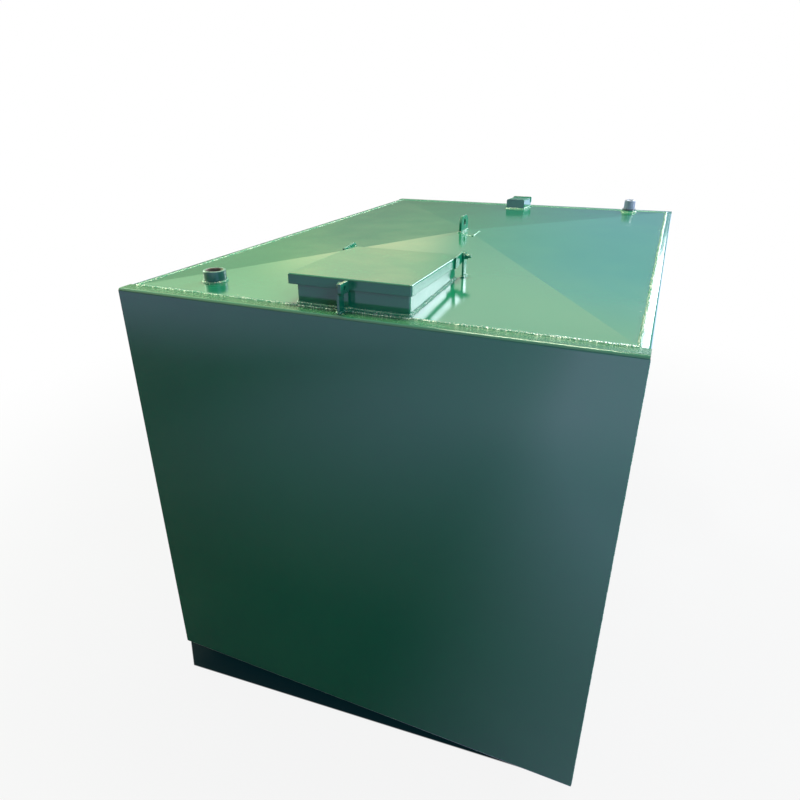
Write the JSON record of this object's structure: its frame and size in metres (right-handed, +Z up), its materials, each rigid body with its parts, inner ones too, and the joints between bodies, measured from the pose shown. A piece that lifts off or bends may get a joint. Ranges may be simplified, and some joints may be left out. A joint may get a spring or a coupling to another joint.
{
  "type": "bunded oil tank",
  "caption": "Rectangular double-walled steel tank for waste oil, with a low pyramid roof, a square hinged hatch, lifting eye, pipe socket, vent box and float gauge.",
  "frame": {"origin": "on the floor, under the middle of the tank", "axes": "+X along the front to the right, -Y out of the front where the hatch is, +Z up"},
  "size_m": [1.3032, 1.95, 1.385],
  "materials": {
    "green_paint": "gloss",
    "mill_steel": "mill",
    "zinc_steel": "zinc plated",
    "gauge_steel": "satin",
    "seal_rubber": "matte",
    "gauge_grey": "gloss",
    "dial_white": "satin",
    "dial_glass": "clear",
    "float_plastic": "matte",
    "strip_brass": "satin",
    "pointer_red": "matte"
  },
  "bodies": {
    "tank": {"bund_floor": "green_paint", "front_panel": "green_paint", "rear_panel": "green_paint", "left_panel": "green_paint", "right_panel": "green_paint", "corner_seam_welds": "green_paint", "roof_plate": "green_paint", "roof_seam_weld": "green_paint", "ground_bearers": "green_paint", "inner_tank_bearers": "mill_steel", "inner_floor": "mill_steel", "inner_front_wall": "mill_steel", "inner_rear_wall": "mill_steel", "inner_left_wall": "mill_steel", "inner_right_wall": "mill_steel", "inner_top_plate": "mill_steel", "hatch_neck": "green_paint", "hatch_neck_weld": "green_paint", "hinge_post_left": "green_paint", "hinge_post_right": "green_paint", "hinge_post_welds": "green_paint", "hinge_bolt_left": "green_paint", "hinge_bolt_right": "green_paint", "hinge_washer_left": "green_paint", "hinge_washer_right": "green_paint", "hinge_nut_left": "green_paint", "hinge_nut_right": "green_paint", "ear_post": "green_paint", "ear_post_weld": "green_paint", "lifting_eye": "green_paint", "lifting_eye_weld": "green_paint", "suction_socket": "green_paint", "suction_pipe": "mill_steel", "suction_socket_weld": "green_paint", "vent_box": "green_paint", "vent_end_plate": "green_paint", "vent_mesh": "zinc_steel", "vent_lip": "green_paint", "vent_pipe": "mill_steel", "vent_box_weld": "green_paint", "gauge_standpipe": "green_paint", "gauge_standpipe_weld": "green_paint", "gauge_head": "gauge_grey", "gauge_dial": "dial_white", "gauge_glass": "dial_glass", "gauge_guide_rod_left": "gauge_steel", "gauge_guide_rod_right": "gauge_steel", "gauge_guide_foot": "gauge_steel"},
    "lid": {"hatch_lid": "green_paint", "hatch_lid_seal": "seal_rubber", "hinge_lug_left": "green_paint", "hinge_lug_right": "green_paint", "lid_ear": "green_paint"},
    "float": {"gauge_float": "float_plastic", "gauge_follower": "strip_brass"},
    "spindle": {"gauge_twisted_strip": "strip_brass", "gauge_pointer": "pointer_red"}
  },
  "joints": [
    {"name": "hatch_lid_hinge", "type": "hinge", "parent": "tank", "child": "lid", "pos_m": [-0.0025, -0.568, 1.366], "axis": [-1, 0, 0], "range_deg": [0, 185]},
    {"name": "gauge_float_slide", "type": "slide", "parent": "tank", "child": "float", "axis": [0, 0, 1], "range_m": [0, 1.0032]},
    {"name": "gauge_spindle_turn", "type": "hinge", "parent": "tank", "child": "spindle", "pos_m": [0.475, 0.86, 1.33], "axis": [0, 0, -1], "range_deg": [0, 270]}
  ],
  "couplings": [
    {"joint": "gauge_spindle_turn", "follows": "gauge_float_slide", "rad_per_m": 4.6973}
  ]
}
